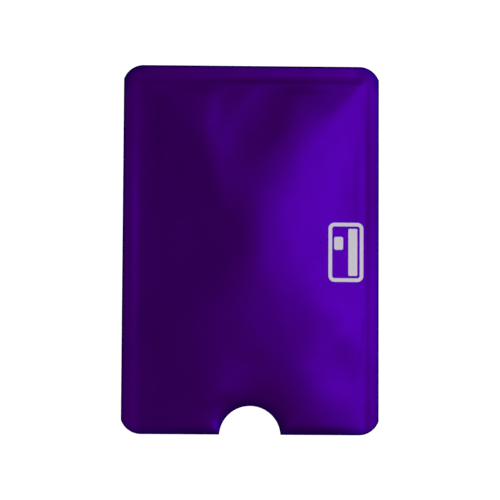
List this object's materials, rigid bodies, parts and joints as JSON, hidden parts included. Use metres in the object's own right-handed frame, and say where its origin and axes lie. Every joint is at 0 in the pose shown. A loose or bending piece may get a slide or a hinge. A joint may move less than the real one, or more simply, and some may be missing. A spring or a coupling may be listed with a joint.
{
  "type": "credit card sleeve",
  "caption": "Flat heat-sealed sleeve of purple metallised film that holds and shields a bank card, sealed along its sides and one end, with a half-round thumb notch in the open mouth.",
  "frame": {"origin": "middle of the rear face, on the surface that the sleeve lies on", "axes": "+X across the sleeve to its right seen from the front, +Y from the open mouth to the closed end, +Z out of the front panel"},
  "size_m": [0.063, 0.091, 0.0012],
  "materials": {
    "color_film": "satin",
    "shield_foil": "satin",
    "liner": "satin",
    "seal": "satin"
  },
  "bodies": {
    "root": {"front_color_film": "color_film", "front_shield_foil": "shield_foil", "front_liner": "liner", "rear_liner": "liner", "rear_shield_foil": "shield_foil", "rear_color_film": "color_film", "left_seal": "seal", "right_seal": "seal", "end_seal": "seal"}
  },
  "joints": []
}
